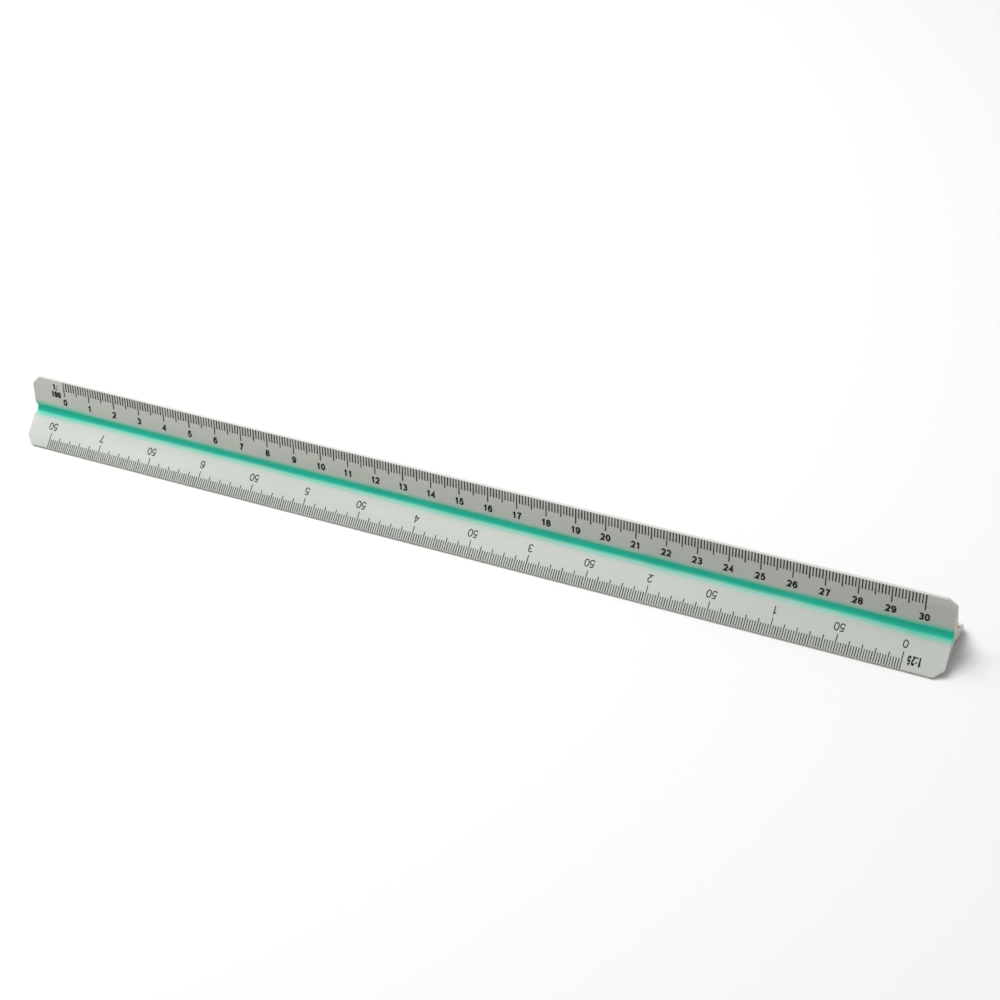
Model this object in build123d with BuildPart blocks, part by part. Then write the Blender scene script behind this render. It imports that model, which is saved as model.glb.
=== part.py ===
from build123d import *

import os
from dataclasses import dataclass
from math import cos, radians, sin, sqrt, tan

# Triangular scale ruler: a three-bladed plastic bar with a coloured lining in each groove.
#
# Each of its three sides carries two printed scales, so there are six, one along every facet.
# X runs along the bar, Z is up, and the origin lies under the middle of the bar, on the surface
# that the bar stands on. The bar stands on the two lower blades' edges, with one side facing
# down. All sizes are in millimetres.

# Bar
length = 321.7  # from end face to end face
side_width = 23.74  # across one side, between the outer edges of its two facets
land_width = 0.9  # flat along the tip of each blade
facet_slope = 20.37  # each facet falls this many degrees from its side's plane to the groove
edge_radius = 0.12  # softened corner between a facet and a land
corner_cut = 2.8  # 45 degree cut on the blades' end corners
corner_radius = 1.2  # softening at the two ends of that cut

# Grooves and their coloured linings
groove_width = 3.5  # between the lips, where the facets end
groove_depth = 1.25  # from the line between the lips to the bottom
lining_thickness = 0.2
lining_setback = 0.25  # from each end face to the lining's end

# Print
scale_length = 300.0  # from a scale's first mark to its last
label_margin = 12.7  # from the end face that carries the label to the first mark
ink_thickness = 0.03
edge_gap = 0.15  # from a facet's outer edge to the start of its marks
hairline = 0.05  # width of the line of ink that joins a scale's marks


@dataclass
class Print:
    """One style of print: the width and the three lengths of its marks."""

    mark_width: float
    short_mark: float
    medium_mark: float
    long_mark: float


@dataclass
class Scale:
    """One printed scale, on the facet beside a side's left or right edge."""

    ratio: int  # one metre is drawn as 1000 / ratio
    side: str
    edge: int  # -1 or +1: which of the side's two edges it reads from
    step: float  # metres from one mark to the next
    medium_every: int  # every so many marks is a medium one
    long_every: int  # every so many marks is a long one
    style: Print

    @property
    def name(self):
        return f"1_{self.ratio}"

    @property
    def pitch(self):
        return self.step * 1000 / self.ratio

    @property
    def last_mark(self):
        return int(scale_length / self.pitch + 0.01)


bold = Print(mark_width=0.34, short_mark=3.25, medium_mark=4.3, long_mark=5.45)
fine = Print(mark_width=0.24, short_mark=3.05, medium_mark=4.15, long_mark=5.25)

# A side's angle is that of its outward normal about X, from +Y towards +Z.
side_angles = {"front": 150, "back": 30, "base": 270}
blade_angles = (90, 210, 330)

scales = (
    Scale(100, "front", -1, 0.1, 5, 10, bold),
    Scale(25, "front", 1, 0.02, 5, 25, fine),
    Scale(50, "back", 1, 0.05, 10, 20, bold),
    Scale(20, "back", -1, 0.02, 5, 25, fine),
    Scale(75, "base", -1, 0.1, 5, 10, bold),
    Scale(125, "base", 1, 0.1, 5, 10, fine),
)

# Worked out from the sizes above
side_half = side_width / 2
side_distance = (land_width + side_half) / sqrt(3)  # from the bar's axis to a side's plane
blade_reach = 2 * side_distance - land_width / 2 * sqrt(3)  # from the axis to a land
lip_depth = (side_half - groove_width / 2) * tan(radians(facet_slope))
groove_radius = groove_depth / 2 + groove_width**2 / (8 * groove_depth)
groove_bottom = side_distance - lip_depth - groove_depth  # from the axis
groove_centre = groove_bottom + groove_radius  # from the axis to the middle of the groove's arc
cut_radius = groove_radius + lining_thickness


def across(angle, distance):
    """Point in the bar's cross-section, at an angle about X from +Y towards +Z."""
    return (distance * cos(radians(angle)), distance * sin(radians(angle)))


def side_recess():
    """Triangle that the two facets of one side cut into the bar, with that side facing +X."""
    depth = side_half * tan(radians(facet_slope))
    with BuildSketch(mode=Mode.PRIVATE) as recess:
        with BuildLine():
            Polyline(
                (side_distance, side_half),
                (side_distance - depth, 0),
                (side_distance, -side_half),
                close=True,
            )
        make_face()
    return recess.sketch


def cross_section():
    """The bar's section about its own axis: three blades, with a groove between each two."""
    tip = [across(angle, blade_reach) for angle in blade_angles]
    half = land_width / 2
    with BuildSketch(mode=Mode.PRIVATE) as section:
        with BuildLine():
            Polyline(
                *(
                    (y + turn * half * sin(radians(angle)), z - turn * half * cos(radians(angle)))
                    for (y, z), angle in zip(tip, blade_angles)
                    for turn in (1, -1)
                ),
                close=True,
            )
        make_face()
        for angle in side_angles.values():
            with Locations(Rot(0, 0, angle)):
                add(side_recess(), mode=Mode.SUBTRACT)
            with Locations(across(angle, groove_centre)):
                Circle(cut_radius, mode=Mode.SUBTRACT)
        corners = section.vertices().sort_by_distance((0, 0, 0))[-2 * len(blade_angles):]
        fillet(corners, edge_radius)
    return section.sketch


section = cross_section()
axis_height = -section.bounding_box().min.Y  # the softened lower edges touch Z = 0


def cross_plane(x):
    """Plane across the bar at X = x, with the bar's axis at its origin."""
    return Plane((x, 0, axis_height), x_dir=(0, 1, 0), z_dir=(1, 0, 0))


def blade_plane(angle):
    """Plane through the middle of a blade, with X along the bar and Y out to the tip."""
    return Plane((0, 0, axis_height), x_dir=(1, 0, 0), z_dir=(0, *across(angle + 90, 1)))


def facet_plane(scale):
    """Plane of a scale's facet: X the way it reads, Y out to its edge, origin at its first mark."""
    side_angle = side_angles[scale.side]
    normal_angle = side_angle - scale.edge * facet_slope
    edge_y, edge_z = across(side_angle, side_distance)
    turn_y, turn_z = across(side_angle + scale.edge * 90, side_half)
    start = scale.edge * (length / 2 - label_margin)
    return Plane(
        (start, edge_y + turn_y, axis_height + edge_z + turn_z),
        x_dir=(-scale.edge, 0, 0),
        z_dir=(0, *across(normal_angle, 1)),
    )


# Bar: one extrusion, with the end corners of its three blades cut off
waste = corner_cut + 2 * corner_radius  # how far the cut's outline stands clear of the bar
with BuildPart() as bar:
    with BuildSketch(cross_plane(-length / 2)):
        add(section)
    extrude(amount=length)
    for angle in blade_angles:
        with BuildSketch(blade_plane(angle)):
            with BuildLine():
                FilletPolyline(
                    (0, blade_reach),
                    (length / 2 - corner_cut, blade_reach),
                    (length / 2, blade_reach - corner_cut),
                    (length / 2, 0),
                    (length / 2 + waste, 0),
                    (length / 2 + waste, blade_reach + waste),
                    (0, blade_reach + waste),
                    radius=corner_radius,
                    close=True,
                )
            make_face()
            mirror(about=Plane.YZ)
        extrude(amount=land_width + corner_cut, both=True, mode=Mode.SUBTRACT)
finished = [("bar", bar)]

# Linings: a thin coloured skin in each groove, ending at the lips where the facets begin
for side, angle in side_angles.items():
    with BuildPart() as lining:
        with BuildSketch(cross_plane(lining_setback - length / 2)):
            with Locations(across(angle, groove_centre)):
                Circle(cut_radius)
                Circle(groove_radius, mode=Mode.SUBTRACT)
            with Locations(Rot(0, 0, angle)):
                add(side_recess(), mode=Mode.SUBTRACT)
        extrude(amount=length - 2 * lining_setback)
    finished.append((f"lining_{side}", lining))


def mark_length(scale, mark):
    """Length of one mark of a scale, counted from its first."""
    if mark % scale.long_every == 0:
        return scale.style.long_mark
    if mark % scale.medium_every == 0:
        return scale.style.medium_mark
    return scale.style.short_mark


# Marks: each scale's ink is one print, its marks hanging from a hairline at the facet's edge
for scale in scales:
    half_mark = scale.style.mark_width / 2
    line_foot = -edge_gap - hairline
    outline = [
        (scale.last_mark * scale.pitch + half_mark, -edge_gap),
        (-half_mark, -edge_gap),
    ]
    for mark in range(scale.last_mark + 1):
        middle = mark * scale.pitch
        mark_foot = -edge_gap - mark_length(scale, mark)
        if mark > 0:
            outline.append((middle - half_mark, line_foot))
        outline.append((middle - half_mark, mark_foot))
        outline.append((middle + half_mark, mark_foot))
        if mark < scale.last_mark:
            outline.append((middle + half_mark, line_foot))
    with BuildPart() as marks:
        with BuildSketch(facet_plane(scale)):
            with BuildLine():
                Polyline(*outline, close=True)
            make_face()
        extrude(amount=ink_thickness)
    finished.append((f"marks_{scale.name}", marks))

# Each finished piece is written to its own file, named as the piece
os.makedirs("parts", exist_ok=True)
for name, piece in finished:
    piece.part.label = name
    export_step(piece.part, f"parts/{name}.step")
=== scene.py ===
# %% [markdown]
# # A triangular scale ruler
# The ruler is one white plastic bar with three blades, a coloured groove in each side and a
# printed drawing scale along every facet. This lesson dresses the solid model of that bar: it
# models the bar with softened ends, the colour in its grooves, the printed marks and the figures.

import math
from dataclasses import dataclass

import bmesh
import bpy
from mathutils import Matrix, Vector


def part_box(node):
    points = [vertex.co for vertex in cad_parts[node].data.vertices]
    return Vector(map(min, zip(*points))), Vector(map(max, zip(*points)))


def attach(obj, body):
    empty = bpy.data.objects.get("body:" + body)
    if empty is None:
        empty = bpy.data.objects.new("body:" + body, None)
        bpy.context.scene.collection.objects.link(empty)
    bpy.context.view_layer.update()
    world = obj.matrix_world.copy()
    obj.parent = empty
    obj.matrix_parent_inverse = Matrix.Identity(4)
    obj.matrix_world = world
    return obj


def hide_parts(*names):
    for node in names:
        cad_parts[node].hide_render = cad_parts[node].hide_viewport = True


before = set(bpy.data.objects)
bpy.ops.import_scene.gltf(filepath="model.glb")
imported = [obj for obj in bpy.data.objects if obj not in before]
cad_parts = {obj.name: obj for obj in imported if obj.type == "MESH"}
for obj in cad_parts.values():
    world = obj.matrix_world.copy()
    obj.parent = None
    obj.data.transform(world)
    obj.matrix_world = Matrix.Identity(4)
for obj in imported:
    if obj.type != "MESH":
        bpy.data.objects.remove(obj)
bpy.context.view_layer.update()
bar_low, bar_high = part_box("bar")
print("pieces of the solid model:", len(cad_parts))
print("bar, mm:", [round(size * 1000, 2) for size in bar_high - bar_low])

# %% [markdown]
# ## Sizes
# A ruler is drawn in millimetres and Blender works in metres, so the sizes are named in
# millimetres, and MM turns them into metres where a mesh is made. The length and the height of
# the bar's axis come from the solid model, so that both models stand in the same place.

# %% Sizes of the bar
MM = 0.001
length = (bar_high.x - bar_low.x) / MM
side_width = 23.74  # across one side, between the outer edges of its two facets
land_width = 0.9  # flat along the tip of each blade
facet_slope = math.radians(20.37)  # each facet falls this much from its side's plane
edge_radius = 0.12  # softened corner between a facet and a land
corner_cut = 2.8  # 45 degree cut on the blades' end corners
corner_radius = 1.2  # softening at the two ends of that cut
groove_width = 3.5  # between the lips, where the facets end
groove_depth = 1.25  # below the line between the lips
lining_thickness = 0.2
lining_setback = 0.25  # from each end face to the end of the groove's colour

# %% Sizes that follow from them
side_half = side_width / 2
side_distance = (land_width + side_half) / math.sqrt(3)  # from the bar's axis to a side's plane
blade_reach = 2 * side_distance - land_width / 2 * math.sqrt(3)  # from the axis to a land
lip_distance = side_distance - (side_half - groove_width / 2) * math.tan(facet_slope)
groove_radius = groove_depth / 2 + groove_width**2 / (8 * groove_depth)
groove_centre = lip_distance - groove_depth + groove_radius  # from the axis, as the lips are
cut_radius = groove_radius + lining_thickness  # of the plastic behind the colour
axis_height = bar_high.z / MM - blade_reach  # above the table
print(f"length {length:.1f} mm, axis {axis_height:.2f} mm above the table")
print(f"from the axis: blades reach {blade_reach:.2f} mm, lips stand at {lip_distance:.2f} mm")

# %% [markdown]
# ## Directions in the cross-section
# The bar's section is alike on its three sides. Its points could be written in Y and Z, but then
# every shape would be needed three times. Here a side is an angle about the bar's length, and so
# is a blade. A point is a distance along that angle and a distance square to it, so one
# description serves all three sides.

# %% Points across the bar
side_angles = {"front": 150, "back": 30, "base": 270}  # degrees from +Y towards +Z
blade_angles = (90, 210, 330)


def direction(angle):
    """Unit direction across the bar, at an angle in degrees from +Y towards +Z."""
    return Vector((math.cos(math.radians(angle)), math.sin(math.radians(angle))))


def on_side(angle, out, along):
    """Point across the bar, by its distance out from the axis and along the side."""
    return direction(angle) * out + direction(angle + 90) * along


print("sides face", side_angles, "degrees; blades point to", blade_angles)

# %% [markdown]
# ## The bar's section
# Each side is two facets that fall to a round groove. The grooves could be cut from a triangular
# bar with Boolean modifiers, but those leave thin slivers of faces. The section is drawn instead as
# one closed line through the three sides, with no more points than it needs. Where a facet meets a
# blade's tip, the corner is a small arc, because an edge of plastic is never quite sharp, and that
# arc is what catches the light along the edge.


# %% A softened corner
def rounded_corner(before, corner, after, radius, steps=4):
    """Arc that replaces a corner between two straight runs."""
    arm_in = (before - corner).normalized()
    arm_out = (after - corner).normalized()
    half = arm_in.angle(arm_out) / 2
    centre = corner + (arm_in + arm_out).normalized() * (radius / math.sin(half))
    start = corner + arm_in * (radius / math.tan(half))
    end = corner + arm_out * (radius / math.tan(half))
    turn = [(start - centre).lerp(end - centre, step / steps) for step in range(steps + 1)]
    return [centre + spoke.normalized() * radius for spoke in turn]


# %% The arc of a groove
def facet_distance(along):
    """Distance out from the axis to a facet, at a distance along the side from its middle."""
    return side_distance - (side_half - abs(along)) * math.tan(facet_slope)


def cut_half_width():
    """Half the width of the groove's cut, where its circle meets the facets' straight lines."""
    slope = math.tan(facet_slope)
    middle_rise = facet_distance(0) - groove_centre
    # The terms of a quadratic equation, whose root is the half width
    square = 1 + slope**2
    half_linear = slope * middle_rise
    constant = middle_rise**2 - cut_radius**2
    return (math.sqrt(half_linear**2 - square * constant) - half_linear) / square


def groove_arc(angle, radius, half_width, steps=28):
    """Arc down one wall of a groove and up the other, between two points on the facets."""
    rise = facet_distance(half_width) - groove_centre
    tilt = math.degrees(math.atan2(rise, half_width))
    start, end = angle - 90 + tilt, angle - 270 - tilt
    centre = direction(angle) * groove_centre
    angles = [start + (end - start) * step / steps for step in range(steps + 1)]
    return [centre + direction(turned) * radius for turned in angles]


print(f"a groove's cut is {2 * cut_half_width():.2f} mm wide")


# %% Section of the bar
def bar_section():
    """Closed line round the bar: for each side a corner, a groove and a corner."""
    angles = sorted(side_angles.values())
    corners = [
        on_side(angle, side_distance, turn * side_half) for angle in angles for turn in (-1, 1)
    ]
    line = []
    for number, angle in enumerate(angles):
        before, first, last, after = (
            corners[(2 * number + step) % len(corners)] for step in (-1, 0, 1, 2)
        )
        groove = groove_arc(angle, cut_radius, cut_half_width())
        line += rounded_corner(before, first, groove[0], edge_radius)
        line += groove
        line += rounded_corner(groove[-1], last, after, edge_radius)
    return line


section = bar_section()
print("points round the bar's section:", len(section))

# %% [markdown]
# ## From a section to a bar
# The real bar is extruded: one section, pressed out to a length. A curve with a bevel object could
# do the same, but the mesh is needed at once for the saw cuts. So the section's line is placed at
# both ends, a wall joins the two lines, and a face closes each end.


# %% Extrude a section
def place(point, x):
    """A point across the bar, at a distance along it, in metres."""
    return Vector((x, point[0], point[1] + axis_height)) * MM


def join_lines(mesh, first, second, closed):
    """Wall of four-sided faces between two lines that have equally many vertices."""
    count = len(first)
    for number in range(count if closed else count - 1):
        following = (number + 1) % count
        mesh.faces.new((first[number], first[following], second[following], second[number]))


def prism(line, start, end):
    """Closed mesh between two ends, with the section's line as its wall."""
    mesh = bmesh.new()
    rings = [[mesh.verts.new(place(point, x)) for point in line] for x in (start, end)]
    join_lines(mesh, *rings, closed=True)
    for ring in rings:
        mesh.faces.new(ring)
    bmesh.ops.recalc_face_normals(mesh, faces=mesh.faces)
    return mesh


bar_mesh = prism(section, -length / 2, length / 2)
print("faces of the plain bar:", len(bar_mesh.faces))

# %% [markdown]
# ## The blades' end corners
# The end corners of the blades are cut off at 45 degrees, and the cut runs softly into the end
# face and into the blade's tip. A bevel widens one edge at a time, and this cut takes the whole
# tip of a blade away, facets and all. So it is sawn, as a workshop would do it. Flat cuts that
# each lean a little more than the one before leave the softened corner.

# %% Saw the blades' corners off
cut_lean = 45  # degrees from the end face
lean_step = 9  # from one flat cut to the next, between the end face at 0 and the tip at 90


def corner_support(lean):
    """Distance from the bar's middle out to the cut that leans this many degrees."""
    setback = corner_radius * math.tan(math.radians(cut_lean / 2))
    if lean <= cut_lean:
        middle = Vector((length / 2 - corner_radius, blade_reach - corner_cut - setback))
    else:
        middle = Vector((length / 2 - corner_cut - setback, blade_reach - corner_radius))
    return middle.dot(direction(lean)) + corner_radius


def saw_corner(mesh, angle, end, lean):
    """One flat cut through the end corner of a blade."""
    along, out = direction(lean)
    normal = Vector((end * along, *(direction(angle) * out)))
    point = place((0, 0), 0) + normal * corner_support(lean) * MM
    everything = mesh.verts[:] + mesh.edges[:] + mesh.faces[:]
    cut = bmesh.ops.bisect_plane(
        mesh, geom=everything, plane_co=point, plane_no=normal, clear_outer=True
    )
    rim = [part for part in cut["geom_cut"] if isinstance(part, bmesh.types.BMEdge)]
    if rim:
        bmesh.ops.edgeloop_fill(mesh, edges=rim)


for angle in blade_angles:
    for end in (-1, 1):
        for lean in range(lean_step, 90, lean_step):
            saw_corner(bar_mesh, angle, end, lean)
bmesh.ops.recalc_face_normals(bar_mesh, faces=bar_mesh.faces)
print("faces after sawing:", len(bar_mesh.faces))

# %% [markdown]
# ## Softened ends
# A sawn end has a crisp rim, and one stroke of a file takes its sharpness away. A Bevel modifier
# would work on the long edges as well, which are round already, so only the sharp edges that lie
# at an end are picked and bevelled.


# %% Keep a finished mesh
def add_object(name, data):
    """New object in the scene, at the origin."""
    item = bpy.data.objects.new(name, data)
    bpy.context.scene.collection.objects.link(item)
    return item


def keep(mesh, name, smooth_angle=None):
    """Object of its own from a finished bmesh, shaded smooth below an angle in degrees."""
    data = bpy.data.meshes.new(name)
    mesh.to_mesh(data)
    mesh.free()
    if smooth_angle:
        data.shade_smooth()
        data.set_sharp_from_angle(angle=math.radians(smooth_angle))
    return add_object(name, data)


# %% Soften the ends
end_bevel = 0.1
end_margin = 1.0  # the end edges lie within the corner cuts and this much more
sharp_angle = 40  # degrees


def is_end_edge(edge):
    """True for a sharp edge that lies wholly at one end of the bar."""
    end_zone = (length / 2 - corner_cut - end_margin) * MM
    at_end = all(abs(vert.co.x) > end_zone for vert in edge.verts)
    is_fold = len(edge.link_faces) == 2
    return at_end and is_fold and edge.calc_face_angle() > math.radians(sharp_angle)


end_edges = [edge for edge in bar_mesh.edges if is_end_edge(edge)]
bmesh.ops.bevel(
    bar_mesh,
    geom=end_edges,
    offset=end_bevel * MM,
    offset_type="OFFSET",
    segments=2,
    profile=0.5,
    affect="EDGES",
    clamp_overlap=True,
)
bar = keep(bar_mesh, "ruler_bar", smooth_angle=28)
print("bar:", len(bar.data.polygons), "faces;", len(end_edges), "end edges softened")

# %% [markdown]
# ## Colour in the grooves
# Each groove is painted from lip to lip. The colour could be part of the bar's own material, but a
# thin skin of its own can have its own finish, and can be changed by itself. Its ends stop just
# short of the bar's ends.


# %% Skins of colour
def lining_section(angle):
    """Closed line round a groove's paint: its back against the bar, then its open face."""
    back = groove_arc(angle, cut_radius, cut_half_width())
    face = groove_arc(angle, groove_radius, groove_width / 2)
    return back + face[::-1]


linings = {}
lining_end = length / 2 - lining_setback
for side, angle in side_angles.items():
    mesh = prism(lining_section(angle), -lining_end, lining_end)
    linings[side] = keep(mesh, f"groove_colour_{side}", smooth_angle=50)
    print("groove colour on the", side, "side:", len(linings[side].data.polygons), "faces")

# %% [markdown]
# ## The six scales
# A drawing scale of 1:100 draws a metre as 10 mm, one of 1:25 as 40 mm. Each side carries two,
# one along each edge, and each is read with its own edge upwards, so one of the two always looks
# upside down. Marks come in three lengths, and the long ones carry figures. All that differs from
# one scale to the next is kept in one small record, so the same steps can print all six.

# %% A scale and its style
scale_length = 300.0  # from a scale's first mark to its last
counting_slack = 0.01  # so that a last mark isn't lost when its number is rounded down


@dataclass
class Print:
    """One style of print: its marks, and the figures that stand below them."""

    mark_width: float
    short_mark: float
    medium_mark: float
    long_mark: float
    pen_width: float
    figure_drop: float  # from the facet's edge to the top of the figures


@dataclass
class Scale:
    """One printed scale, on the facet beside a side's left or right edge."""

    ratio: int  # one metre is drawn as 1000 / ratio
    side: str
    edge: int  # -1 or +1: which of the side's two edges it reads from
    step: float  # metres from one mark to the next
    medium_every: int  # every so many marks is a medium one
    long_every: int  # every so many marks is a long one
    style: Print

    @property
    def pitch(self):
        return self.step * 1000 / self.ratio

    @property
    def last_mark(self):
        return int(scale_length / self.pitch + counting_slack)


# %% The six scales
bold = Print(
    mark_width=0.34,
    short_mark=3.25,
    medium_mark=4.3,
    long_mark=5.45,
    pen_width=0.58,
    figure_drop=6.6,
)
fine = Print(
    mark_width=0.24,
    short_mark=3.05,
    medium_mark=4.15,
    long_mark=5.25,
    pen_width=0.32,
    figure_drop=6.4,
)
scales = (
    Scale(100, "front", -1, 0.1, 5, 10, bold),
    Scale(25, "front", 1, 0.02, 5, 25, fine),
    Scale(50, "back", 1, 0.05, 10, 20, bold),
    Scale(20, "back", -1, 0.02, 5, 25, fine),
    Scale(75, "base", -1, 0.1, 5, 10, bold),
    Scale(125, "base", 1, 0.1, 5, 10, fine),
)
for scale in scales:
    print(f"1:{scale.ratio}: {scale.last_mark + 1} marks, {scale.pitch:.3f} mm apart")

# %% Onto a facet
label_margin = 12.7  # from the end face that carries the label to the first mark


def facet_matrix(scale):
    """Turns a flat drawing onto a facet: X the way it reads, Y out to the edge, Z off the facet."""
    side_angle = side_angles[scale.side]
    normal = direction(side_angle - scale.edge * math.degrees(facet_slope))
    corner = on_side(side_angle, side_distance, scale.edge * side_half)
    origin = place(corner, scale.edge * (length / 2 - label_margin))
    reading = Vector((-scale.edge, 0, 0))
    outward = Vector((0, *normal))
    upward = outward.cross(reading)
    turn = Matrix((reading, upward, outward)).transposed().to_4x4()
    return Matrix.Translation(origin) @ turn


# %% [markdown]
# ## Marks by Geometry Nodes
# Hundreds of marks follow one rule. A loop could draw them one by one, but this is work for
# Geometry Nodes, where the rule is one tree with an input for each size. A line of points, one for
# each mark, gets a strip of ink on every point. The strip's length depends on the point's number:
# every tenth may be long, every fifth medium, and the rest are short. A little random change in
# width, from a fixed seed, keeps the print from looking ruled by a machine. At its end the tree
# makes the strips real and gives them their ink, so that what it leaves is one plain mesh.


# %% Helpers for node trees
def feed(tree, node, inputs):
    """Give a node's inputs, by name or number, outputs of other nodes or fixed values."""
    for name, value in inputs.items():
        socket = node.inputs[name]
        if isinstance(value, bpy.types.NodeSocket):
            tree.links.new(value, socket)
        elif socket.type == "RGBA":  # a colour, which is made opaque
            socket.default_value = (*value, 1)
        else:
            socket.default_value = value


def add_node(tree, kind, inputs, **settings):
    """New node with its settings and its inputs."""
    node = tree.nodes.new(kind)
    for name, value in settings.items():
        setattr(node, name, value)
    feed(tree, node, inputs)
    return node


def maths(tree, operation, *values):
    """Result of one step of maths on numbers, in a tree of shading or of geometry."""
    node = add_node(tree, "ShaderNodeMath", dict(enumerate(values)), operation=operation)
    return node.outputs[0]


def vector(tree, x, y, z):
    """Vector from three numbers or outputs."""
    node = add_node(tree, "ShaderNodeCombineXYZ", {"X": x, "Y": y, "Z": z})
    return node.outputs[0]


# %% How long and how wide a mark is
narrowest, widest = 0.98, 1.26  # shares of a mark's width
FLOAT_MIN, FLOAT_MAX, FLOAT_VALUE = 2, 3, 1  # a random value's sockets for plain numbers


def mark_lengths(tree, given):
    """Length of each mark by its number: medium or long at every so many, and short otherwise."""
    number = tree.nodes.new("GeometryNodeInputIndex").outputs[0]
    lengths = given["Short length"]
    for kind in ("Medium", "Long"):
        left_over = maths(tree, "MODULO", number, given[f"{kind} every"])
        switch = add_node(
            tree,
            "GeometryNodeSwitch",
            {
                "Switch": maths(tree, "COMPARE", left_over, 0),
                "False": lengths,
                "True": given[f"{kind} length"],
            },
            input_type="FLOAT",
        )
        lengths = switch.outputs[0]
    return lengths


def mark_widths(tree, given):
    """Width of each mark, a little different from one to the next."""
    spread = add_node(
        tree,
        "FunctionNodeRandomValue",
        {FLOAT_MIN: narrowest, FLOAT_MAX: widest, "Seed": given["Seed"]},
        data_type="FLOAT",
    )
    return maths(tree, "MULTIPLY", given["Mark width"], spread.outputs[FLOAT_VALUE])


# %% Points at the middles of the marks
def mark_points(tree, given, lengths):
    """Line of points with the marks' pitch, each moved down to the middle of its mark."""
    pitch = vector(tree, given["Pitch"], 0, 0)
    line = add_node(tree, "GeometryNodeMeshLine", {"Count": given["Marks"], "Offset": pitch})
    half_length = maths(tree, "MULTIPLY", lengths, 0.5)
    down = maths(tree, "ADD", half_length, given["Edge gap"])
    half_ink = maths(tree, "MULTIPLY", given["Ink thickness"], 0.5)
    to_middle = vector(tree, 0, maths(tree, "MULTIPLY", down, -1), half_ink)
    centred = add_node(
        tree,
        "GeometryNodeSetPosition",
        {"Geometry": line.outputs["Mesh"], "Offset": to_middle},
    )
    return centred.outputs["Geometry"]


# %% Build the tree of the marks
whole_inputs = ("Marks", "Medium every", "Long every", "Seed")
size_inputs = (
    "Pitch",
    "Short length",
    "Medium length",
    "Long length",
    "Mark width",
    "Ink thickness",
    "Edge gap",
)


def add_inputs(tree, names, kind):
    """Named inputs of one kind, and their identifiers by name."""
    return {
        name: tree.interface.new_socket(name=name, in_out="INPUT", socket_type=kind).identifier
        for name in names
    }


def marks_tree(ink):
    """Node tree that prints one scale's marks, and the identifiers of its inputs by name."""
    tree = bpy.data.node_groups.new("scale marks", "GeometryNodeTree")
    inputs = add_inputs(tree, whole_inputs, "NodeSocketInt")
    inputs |= add_inputs(tree, size_inputs, "NodeSocketFloat")
    tree.interface.new_socket(name="Marks", in_out="OUTPUT", socket_type="NodeSocketGeometry")
    given = tree.nodes.new("NodeGroupInput").outputs

    lengths = mark_lengths(tree, given)
    size = vector(tree, mark_widths(tree, given), lengths, given["Ink thickness"])
    strip = add_node(tree, "GeometryNodeMeshCube", {"Size": (1, 1, 1)})
    points, instance = mark_points(tree, given, lengths), strip.outputs["Mesh"]
    spots = add_node(
        tree,
        "GeometryNodeInstanceOnPoints",
        {"Points": points, "Instance": instance, "Scale": size},
    )
    instances = spots.outputs["Instances"]
    real = add_node(tree, "GeometryNodeRealizeInstances", {"Geometry": instances})
    strips = real.outputs["Geometry"]
    inked = add_node(tree, "GeometryNodeSetMaterial", {"Geometry": strips, "Material": ink})
    add_node(tree, "NodeGroupOutput", {0: inked.outputs["Geometry"]})
    return tree, inputs


# %% [markdown]
# ## Ink
# Printing ink on plastic is matt and nearly black. One flat colour would do from afar, but close
# up the ink lies thinner in places, and there it looks dark grey, so a fine noise mixes the two.


# %% Material helpers
def new_material(name):
    """Material with its node tree and its shader."""
    material = bpy.data.materials.new(name)
    material.use_nodes = True
    tree = material.node_tree
    return material, tree, tree.nodes["Principled BSDF"]


def noise(tree, scale, detail=3.0, stretch=(1, 1, 1)):
    """Noise over the object's own coordinates, stretched along its axes."""
    where = tree.nodes.new("ShaderNodeTexCoord").outputs["Object"]
    mapping = add_node(tree, "ShaderNodeMapping", {"Vector": where, "Scale": stretch})
    stretched = mapping.outputs["Vector"]
    inputs = {"Vector": stretched, "Scale": scale, "Detail": detail}
    return add_node(tree, "ShaderNodeTexNoise", inputs).outputs["Fac"]


def ramp(tree, value, low, high):
    """Colour that changes between two stops, each a value and a colour."""
    node = add_node(tree, "ShaderNodeValToRGB", {"Fac": value})
    for element, (position, colour) in zip(node.color_ramp.elements, (low, high)):
        element.position = position
        element.color = (*colour, 1)
    return node.outputs["Color"]


# %% Printing ink
thick_ink = (0.006, 0.008, 0.007)
thin_ink = (0.04, 0.045, 0.04)


def make_ink():
    """Matt black ink that is dark grey where it lies thin."""
    material, tree, shader = new_material("printing ink")
    patches = noise(tree, scale=900, detail=4)
    colour = ramp(tree, patches, (0.35, thick_ink), (0.75, thin_ink))
    feed(tree, shader, {"Base Color": colour, "Roughness": 0.7, "Specular IOR Level": 0.2})
    return material


ink = make_ink()
print("material:", ink.name)

# %% Sizes of one scale's marks
ink_thickness = 0.03  # of marks and figures alike
edge_gap = 0.15  # from a facet's outer edge to the start of its marks


def mark_settings(scale):
    """Values for the tree's inputs, by name: whole numbers, and sizes in metres."""
    style = scale.style
    return {
        "Marks": scale.last_mark + 1,
        "Medium every": scale.medium_every,
        "Long every": scale.long_every,
        "Seed": scale.ratio,
        "Pitch": scale.pitch * MM,
        "Short length": style.short_mark * MM,
        "Medium length": style.medium_mark * MM,
        "Long length": style.long_mark * MM,
        "Mark width": style.mark_width * MM,
        "Ink thickness": ink_thickness * MM,
        "Edge gap": edge_gap * MM,
    }


# %% Print the marks
marks_group, mark_inputs = marks_tree(ink)
print("nodes in the tree of the marks:", len(marks_group.nodes))


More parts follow.
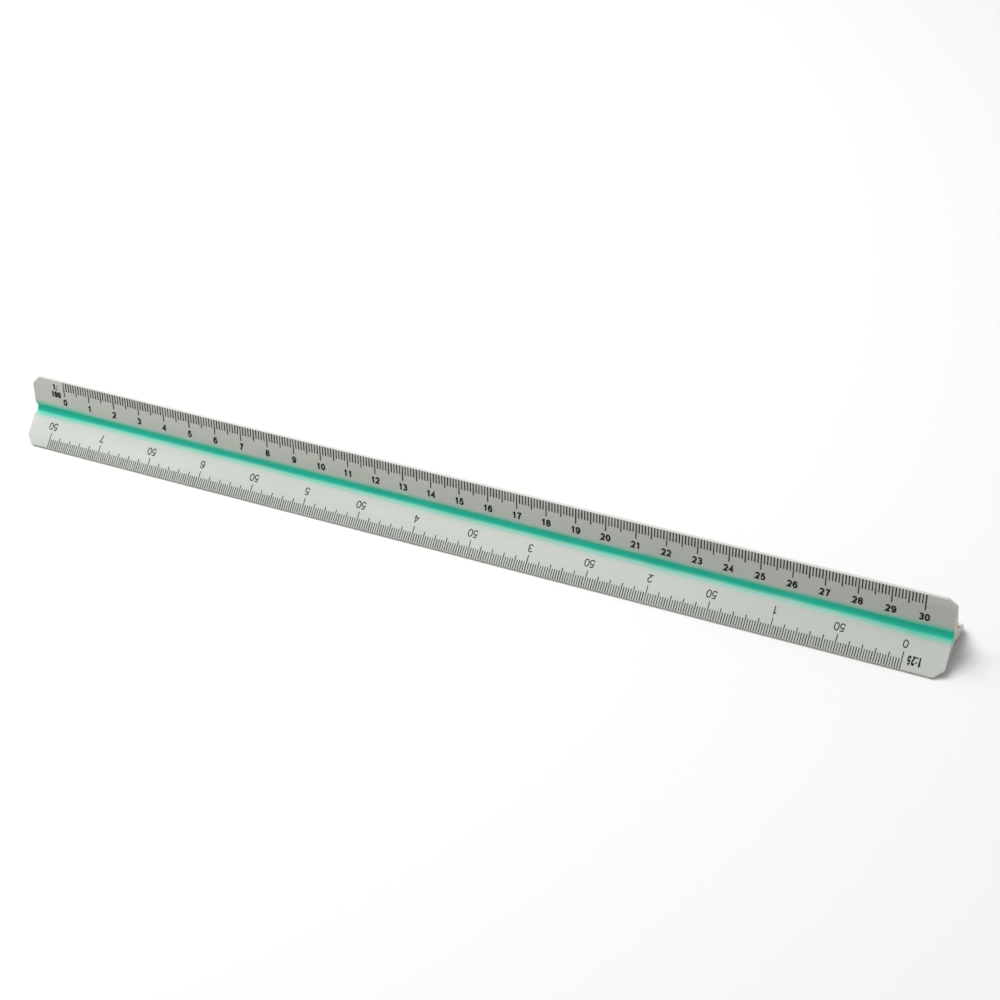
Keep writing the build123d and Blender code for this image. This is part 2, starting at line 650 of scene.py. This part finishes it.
def mesh_from(carrier):
    """Plain mesh of an object with its modifiers, as they show."""
    bpy.context.view_layer.update()
    graph = bpy.context.evaluated_depsgraph_get()
    return bpy.data.meshes.new_from_object(carrier.evaluated_get(graph))


def print_marks(scale):
    """One scale's marks on its facet, made by the tree on a carrier that is then thrown away."""
    carrier = add_object("carrier", bpy.data.meshes.new("carrier"))
    modifier = carrier.modifiers.new("marks", "NODES")
    modifier.node_group = marks_group
    for name, value in mark_settings(scale).items():
        modifier[mark_inputs[name]] = value
    mesh = mesh_from(carrier)
    bpy.data.objects.remove(carrier)
    mesh.transform(facet_matrix(scale))
    marks = add_object(f"scale_marks_1_{scale.ratio}", mesh)
    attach(marks, "root")
    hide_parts(f"marks_1_{scale.ratio}")
    print(f"1:{scale.ratio}: marks with {len(mesh.polygons)} faces")


for scale in scales:
    print_marks(scale)

# %% [markdown]
# ## Figures
# The figures are plain upright print. Text objects could make them, but a font's outlines have
# many points, and its shapes would be the font's and not this ruler's. So a figure is drawn with a
# pen: each character is a few strokes, straight or round, and the pen has a width. A stroke's
# outline is found by stepping half the pen's width to both sides of its middle line, with mitred
# corners. The outline is then given the thickness of the ink.


# %% Strokes of the characters
def oval(middle_x, middle_y, reach_x, reach_y, start=0, turn=360, steps=28):
    """Points round part of an oval, from a start angle through a turn, in degrees."""
    points = []
    for step in range(steps + 1):
        angle = math.radians(start + turn * step / steps)
        points.append((middle_x + reach_x * math.cos(angle), middle_y + reach_y * math.sin(angle)))
    return points


# Each character in a box that is 1 wide and 1 tall, as the pen's middle lines
STROKES = {
    "0": [oval(0.5, 0.5, 0.5, 0.5)],
    "1": [[(0.08, 0.74), (0.34, 0.8), (0.5, 0.9), (0.58, 1.0)], [(0.58, 1.1), (0.58, -0.1)]],
    "2": [oval(0.48, 0.69, 0.46, 0.31, 172, -208) + [(0.03, 0.0), (1.05, 0.0)]],
    "3": [
        oval(0.45, 0.76, 0.46, 0.24, 158, -232),
        oval(0.45, 0.27, 0.5, 0.27, 76, -236),
        [(0.3, 0.53), (0.58, 0.53)],
    ],
    "4": [[(0.76, -0.1), (0.76, 0.97), (0.0, 0.26), (1.04, 0.26)]],
    "5": [[(0.97, 1.0), (0.25, 1.0)] + oval(0.47, 0.33, 0.5, 0.33, 146, -306)],
    "6": [oval(0.5, 0.31, 0.49, 0.31), oval(0.56, 0.5, 0.56, 0.5, 38, 165)],
    "7": [[(-0.03, 1.0), (0.98, 1.0), (0.62, 0.52), (0.36, -0.1)]],
    "8": [oval(0.5, 0.76, 0.43, 0.24), oval(0.5, 0.26, 0.5, 0.26)],
    "9": [oval(0.5, 0.69, 0.49, 0.31), oval(0.44, 0.5, 0.56, 0.5, 218, 165)],
    ":": [[(0.5, -0.08), (0.5, 0.14)], [(0.5, 0.52), (0.5, 0.74)]],
}
print("characters:", "".join(STROKES))

# %% The two sides of a stroke
closing_gap = 0.01  # a stroke is closed if its ends meet within this share of its width
mitre_floor = 0.4  # a corner's points stand out by 1 / this at most


def pen_sides(points, width):
    """Left and right edges of a pen's stroke, with mitred corners, and if it is closed."""
    closed = (points[0] - points[-1]).length < width * closing_gap
    if closed:
        points = points[:-1]
    left, right = [], []
    for number, point in enumerate(points):
        before = points[number - 1] if closed or number else None
        after = points[(number + 1) % len(points)] if closed or number + 1 < len(points) else None
        arms = [
            (end - start).normalized()
            for start, end in ((before, point), (point, after))
            if start is not None and end is not None
        ]
        along = sum(arms, Vector((0, 0))).normalized()
        stretch = 1 / max(mitre_floor, along.dot(arms[0]))
        side = Vector((-along.y, along.x)) * (width / 2 * stretch)
        left.append(point + side)
        right.append(point - side)
    return left, right, closed


# %% A stroke as a thin solid
def add_stroke(mesh, points, width):
    """Closed thin solid of one stroke."""
    left, right, closed = pen_sides([Vector(point) for point in points], width)
    (low_left, low_right), (top_left, top_right) = (
        [[mesh.verts.new((x, y, z)) for x, y in line] for line in (left, right)]
        for z in (0, ink_thickness)
    )
    edges = [top_right, top_left, low_left, low_right]
    for first, second in zip(edges, edges[1:] + edges[:1]):
        join_lines(mesh, first, second, closed)
    if not closed:
        for end in (0, -1):
            mesh.faces.new([edge[end] for edge in edges])


# %% A line of characters
narrow_steps = {":": 0.78, "1": 0.93}  # shares of the spacing beside a narrow character


@dataclass
class Lettering:
    """Sizes of a line of characters, from outside to outside of their strokes."""

    height: float
    width: float
    spacing: float  # from the middle of one to the middle of the next
    pen_width: float


def letter_steps(text, spacing):
    """Distances from each character's middle to the next, closer beside the narrow ones."""
    pairs = zip(text, text[1:])
    return [spacing * min(narrow_steps.get(each, 1) for each in pair) for pair in pairs]


def add_text(mesh, text, middle, top, size):
    """One line of characters, centred on its middle, hanging from its top."""
    box_width, box_height = size.width - size.pen_width, size.height - size.pen_width
    foot = top - size.pen_width / 2 - box_height
    steps = letter_steps(text, size.spacing)
    left = middle - sum(steps) / 2 - box_width / 2
    for character, step in zip(text, steps + [0]):
        for line in STROKES[character]:
            points = [(left + x * box_width, foot + y * box_height) for x, y in line]
            add_stroke(mesh, points, size.pen_width)
        left += step


# %% The scale's name
label_gap = 1.5  # from the first mark to the label that names the scale
two_lines = Lettering(height=2.45, width=1.36, spacing=1.36, pen_width=0.58)
line_tops = (1.3, 4.2)  # down from the facet's edge to each of the two lines
one_shift = 0.7  # the "1:" ends this much further from the first mark
one_line = Lettering(height=2.8, width=1.15, spacing=1.25, pen_width=0.48)
one_line_top = 1.9


def add_label_line(mesh, text, top, shift, size):
    """One line of a label, which ends the label's gap and a shift before the first mark."""
    reach = sum(letter_steps(text, size.spacing)) + size.width
    add_text(mesh, text, -label_gap - reach / 2 - shift, -top, size)


def add_label(mesh, scale):
    """The scale's name: on two lines in bold print, and on one line in fine print."""
    if scale.style is bold:
        add_label_line(mesh, "1:", line_tops[0], one_shift, two_lines)
        add_label_line(mesh, str(scale.ratio), line_tops[1], 0, two_lines)
    else:
        add_label_line(mesh, f"1:{scale.ratio}", one_line_top, 0, one_line)


# %% Print the figures
figure_height = 2.55
figure_width = 0.64 * figure_height
figure_spacing = 0.68 * figure_height


def figure_text(metres):
    """Whole metres, or the centimetres of a half metre."""
    part = round(metres % 1 * 100)
    return str(part) if part else str(round(metres))


def print_figures(scale):
    """One scale's figures, below its long marks, and its name beside the first of them."""
    size = Lettering(figure_height, figure_width, figure_spacing, scale.style.pen_width)
    figured = range(0, scale.last_mark + 1, scale.long_every)
    mesh = bmesh.new()
    for mark in figured:
        text = figure_text(mark * scale.step)
        add_text(mesh, text, mark * scale.pitch, -scale.style.figure_drop, size)
    add_label(mesh, scale)
    bmesh.ops.recalc_face_normals(mesh, faces=mesh.faces)
    figures = keep(mesh, f"scale_figures_1_{scale.ratio}")
    figures.data.transform(Matrix.Scale(MM, 4))
    figures.data.transform(facet_matrix(scale))
    figures.data.materials.append(ink)
    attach(figures, "root")
    print(f"1:{scale.ratio}: {len(figured)} figures, the last {text}")


for scale in scales:
    print_figures(scale)

# %% [markdown]
# ## Colour that fades at the lips
# The colour in a groove does not stop at a sharp line. The paint thins out towards the lips, and
# the white plastic beside them carries a tint of the groove's colour. It is partly paint that
# spread onto it, and partly painted glow, for light that the paint colours as it comes through the
# plastic.
# The tint could be a second, clear skin over the facets, but it has no thickness to speak of, so it
# is mixed into the plastic's material. Paint and plastic use the same fade: the distance from a
# line near the middle of the groove, made uneven by some noise, and turned into a share of the
# colour.
# That line lies nearer one lip, so the wall by the other lip is paler, as a painted highlight. At
# the bar's two ends, where the brush set down and lifted, the paint reaches a little further. The
# end faces are sawn after the painting, so they stay white.

# %% Sizes and colours of the fade
fade_start = 0.3  # from the middle of the paint, where it begins to thin
fade_end = 3.0  # where the last of the tint and its painted glow ends
fade_wander = 0.8  # how much the fade's edge wanders in and out
painted_highlight_shift = -0.35  # the fade's middle lies nearer one lip, so the wall by the other lip is paler: painted highlight
end_reach = 0.5  # how much further the paint reaches at the bar's ends
end_stretch = 40  # over this much of the length
paint_colours = {
    "front": (0.011, 0.7, 0.5),
    "back": (0.52, 0.04, 0.05),
    "base": (0.03, 0.13, 0.45),
}


# %% Distance from a groove
def vector_maths(tree, operation, *values, result="Vector"):
    """Result of one step of maths on vectors: a vector, or the number at its Value output."""
    node = add_node(tree, "ShaderNodeVectorMath", dict(enumerate(values)), operation=operation)
    return node.outputs[result]


def from_groove(tree, side):
    """Place in the cross-section, measured from the middle of the colour's fade, off the groove's
    middle.
    """
    centre = place(on_side(side_angles[side], lip_distance, painted_highlight_shift), 0)
    where = tree.nodes.new("ShaderNodeTexCoord").outputs["Object"]
    flat = vector_maths(tree, "MULTIPLY", where, (0, 1, 1))
    return vector_maths(tree, "SUBTRACT", flat, centre)


# %% Smooth changes
def smooth_share(tree, value, start, end, at_start, at_end):
    """Smooth change between two results, as a value goes from a start to an end in mm."""
    inputs = {
        "Value": value,
        "From Min": start * MM,
        "From Max": end * MM,
        "To Min": at_start,
        "To Max": at_end,
    }
    share = add_node(tree, "ShaderNodeMapRange", inputs, interpolation_type="SMOOTHSTEP")
    return share.outputs["Result"]


def towards_end(tree, stretch, before, after):
    """Smooth change between two results over the last stretch of the bar's length in mm."""
    where = tree.nodes.new("ShaderNodeTexCoord").outputs["Object"]
    along = vector_maths(tree, "DOT_PRODUCT", where, (1, 0, 0), result="Value")
    from_middle = maths(tree, "ABSOLUTE", along)
    return smooth_share(tree, from_middle, length / 2 - stretch, length / 2, before, after)


# %% Share of the colour
FIRST_COLOUR, SECOND_COLOUR, MIXED_COLOUR = 6, 7, 2  # a mix node's sockets for colours


def colour_share(tree, distance):
    """Share of the groove's colour at a distance from its middle, with an uneven edge."""
    wander = noise(tree, scale=150, detail=5, stretch=(0.5, 1, 1))
    wander_width = fade_wander * MM
    shift = maths(tree, "MULTIPLY_ADD", wander, wander_width, -wander_width / 2)
    uneven = maths(tree, "ADD", distance, shift)
    further = towards_end(tree, end_stretch, 0, end_reach * MM)
    nearer = maths(tree, "SUBTRACT", uneven, further)
    return smooth_share(tree, nearer, fade_start, fade_end, 1, 0)


def mix_colour(tree, share, first, second):
    """Colour from the first to the second by a share; each is a socket or a fixed colour."""
    inputs = {"Factor": share, FIRST_COLOUR: first, SECOND_COLOUR: second}
    return add_node(tree, "ShaderNodeMix", inputs, data_type="RGBA").outputs[MIXED_COLOUR]


# %% [markdown]
# ## White plastic
# The bar is a satin white plastic, a little grey and not quite even. Fine lines run along it from
# the die that it was pressed through. They are far too fine to model, so a bump from stretched
# noise stands for them. Light enters the plastic a short way, which softens its edges.

# %% Colour and bump of the plastic
grey_white = (0.595, 0.63, 0.58)
clear_white = (0.65, 0.685, 0.64)


def plastic_white(tree):
    """White in wide soft clouds, stretched along the bar."""
    clouds = noise(tree, scale=60, detail=3, stretch=(0.3, 1, 1))
    return ramp(tree, clouds, (0.3, grey_white), (0.7, clear_white))


def bump(tree, height, strength, distance):
    """Normals of a surface that rises and falls by a distance in mm."""
    inputs = {"Height": height, "Strength": strength, "Distance": distance * MM}
    return add_node(tree, "ShaderNodeBump", inputs).outputs["Normal"]


# %% White plastic
smooth_patch, rough_patch = 0.36, 0.5  # the plastic's roughness lies between these


def tinted_white(tree):
    """The plastic's white, with the tint beside each groove: partly its paint, partly painted glow.
    """
    colour = plastic_white(tree)
    unsawn = towards_end(tree, end_bevel, 1, 0)
    for side, paint in paint_colours.items():
        distance = vector_maths(tree, "LENGTH", from_groove(tree, side), result="Value")
        share = maths(tree, "MULTIPLY", colour_share(tree, distance), unsawn)
        # the groove's colour beside it: paint spread onto the plastic, and painted glow through it
        colour = mix_colour(tree, share, colour, paint)
    return colour


def make_plastic():
    """Satin white plastic with fine lines along it and a soft sheen that is not quite even."""
    material, tree, shader = new_material("white plastic")
    die_lines = noise(tree, scale=4000, detail=2, stretch=(0.01, 1, 1))
    patches = noise(tree, scale=300)
    sheen = ramp(tree, patches, (0.3, (smooth_patch,) * 3), (0.7, (rough_patch,) * 3))
    finish = {
        "Base Color": tinted_white(tree),
        "Normal": bump(tree, die_lines, strength=0.12, distance=0.02),
        "Roughness": sheen,
        "Subsurface Weight": 0.12,
        "Subsurface Radius": (1, 0.9, 0.8),
        "Subsurface Scale": 0.8 * MM,
    }
    feed(tree, shader, finish)
    return material


plastic = make_plastic()
bar.data.materials.append(plastic)
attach(bar, "root")
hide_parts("bar")
print("material:", plastic.name)

# %% [markdown]
# ## Groove colours
# The colour in a groove is a satin paint, brushed along it. It is full at the bottom, streaky, and
# thins towards the lips until the white shows through. Its fade is centred nearer one lip, so it
# thins sooner towards the other, and the wall there is paler: a painted highlight. The thin part
# could be a transparent layer over the plastic. A share of paint mixed into the plastic's own white
# gives the same look, and meets the tinted white of the bar without a seam.

# %% Groove paints
deep_paint = 0.82  # the darkest streaks, as a share of the full colour


def make_paint(name, side):
    """Satin paint in streaks along a groove, thinner towards its lips."""
    material, tree, shader = new_material(name)
    full = paint_colours[side]
    deep = tuple(channel * deep_paint for channel in full)
    streaks = noise(tree, scale=250, detail=4, stretch=(0.15, 1, 1))
    paint = ramp(tree, streaks, (0.3, deep), (0.7, full))
    sideways = (0, *direction(side_angles[side] + 90))
    # the fade's middle is shifted towards one lip, so the other wall is paler: painted highlight
    along = vector_maths(tree, "DOT_PRODUCT", from_groove(tree, side), sideways, result="Value")
    share = colour_share(tree, maths(tree, "ABSOLUTE", along))
    grain = noise(tree, scale=1500)
    finish = {
        "Base Color": mix_colour(tree, share, plastic_white(tree), paint),
        "Normal": bump(tree, grain, strength=0.15, distance=0.03),
        "Roughness": 0.42,
        "Specular IOR Level": 0.4,
    }
    feed(tree, shader, finish)
    return material


for side, name in (("front", "green"), ("back", "red"), ("base", "blue")):
    linings[side].data.materials.append(make_paint(f"{name} paint", side))
    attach(linings[side], "root")
    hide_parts(f"lining_{side}")
    print("the groove on the", side, "side is", name)

# %% [markdown]
# ## Table
# The ruler lies on a plain pale table. A table as pale as that would fill the ruler's lower facets
# with light. So it is pale only where it is seen, by the camera or in a reflection, and what it
# throws back at the ruler is dimmer and a little warmer.

# %% Table
table_half = 3.0  # metres
seen_colour = (0.88, 0.88, 0.88)
thrown_colour = (0.48, 0.46, 0.40)

corners = [(x * table_half, y * table_half, 0) for x, y in ((-1, -1), (1, -1), (1, 1), (-1, 1))]
table = add_object("table", bpy.data.meshes.new("table"))
table.data.from_pydata(corners, [], [(0, 1, 2, 3)])

table_material, tree, shader = new_material("pale table")
rays = tree.nodes.new("ShaderNodeLightPath").outputs
is_seen = maths(tree, "MAXIMUM", rays["Is Camera Ray"], rays["Is Glossy Ray"])
is_seen = maths(tree, "MAXIMUM", is_seen, rays["Is Transmission Ray"])
table_colour = mix_colour(tree, is_seen, thrown_colour, seen_colour)
feed(tree, shader, {"Base Color": table_colour, "Roughness": 0.9})
table.data.materials.append(table_material)
print("table:", 2 * table_half, "m square")

# %% [markdown]
# ## Light
# One large soft light hangs above and to the left, over an even white room. The facets that face
# upwards are the brightest, and the near-upright ones are greyer. A small hard lamp would draw
# sharp shadows in the grooves instead, and hide the fade of their colour.

# %% Light
world = bpy.data.worlds.new("studio")
bpy.context.scene.world = world
world.use_nodes = True
backdrop = world.node_tree.nodes["Background"]
feed(world.node_tree, backdrop, {"Color": (1, 1, 1), "Strength": 0.46})

lamp_place = Vector((-0.36, 0.08, 0.9))
lamp = bpy.data.lights.new("overhead", "AREA")
lamp.shape = "SQUARE"
lamp.size = 0.7
lamp.energy = 8.8
light = add_object("overhead", lamp)
light.location = lamp_place
light.rotation_euler = (-lamp_place).to_track_quat("-Z", "Y").to_euler()
print(f"lamp: {lamp.size:.1f} m square, {lamp_place.length:.2f} m from the ruler")

# %% [markdown]
# ## Camera
# The camera looks down on the ruler from the front and the right, through a long lens that keeps
# its edges nearly parallel. It is turned by three angles, each about one of its own axes, because
# it is rolled a little, and a camera that only tracks a target never rolls. The Standard view
# shows colours as they are written.

# %% Camera
camera_place = (0.25992, -0.4393, 0.4461)
heading, downward, roll = 29.09, 40.514, -6.0  # degrees

bpy.context.scene.view_settings.view_transform = "Standard"
camera_data = bpy.data.cameras.new("camera")
camera_data.lens = 76.3
camera_data.sensor_width = 36
camera_data.clip_start = 0.01
camera = add_object("camera", camera_data)
camera.matrix_world = (
    Matrix.Translation(camera_place)
    @ Matrix.Rotation(math.radians(heading), 4, "Z")
    @ Matrix.Rotation(math.radians(90 - downward), 4, "X")
    @ Matrix.Rotation(math.radians(roll), 4, "Z")
)
bpy.context.scene.camera = camera
print("camera:", round(Vector(camera_place).length, 2), "m from the ruler")
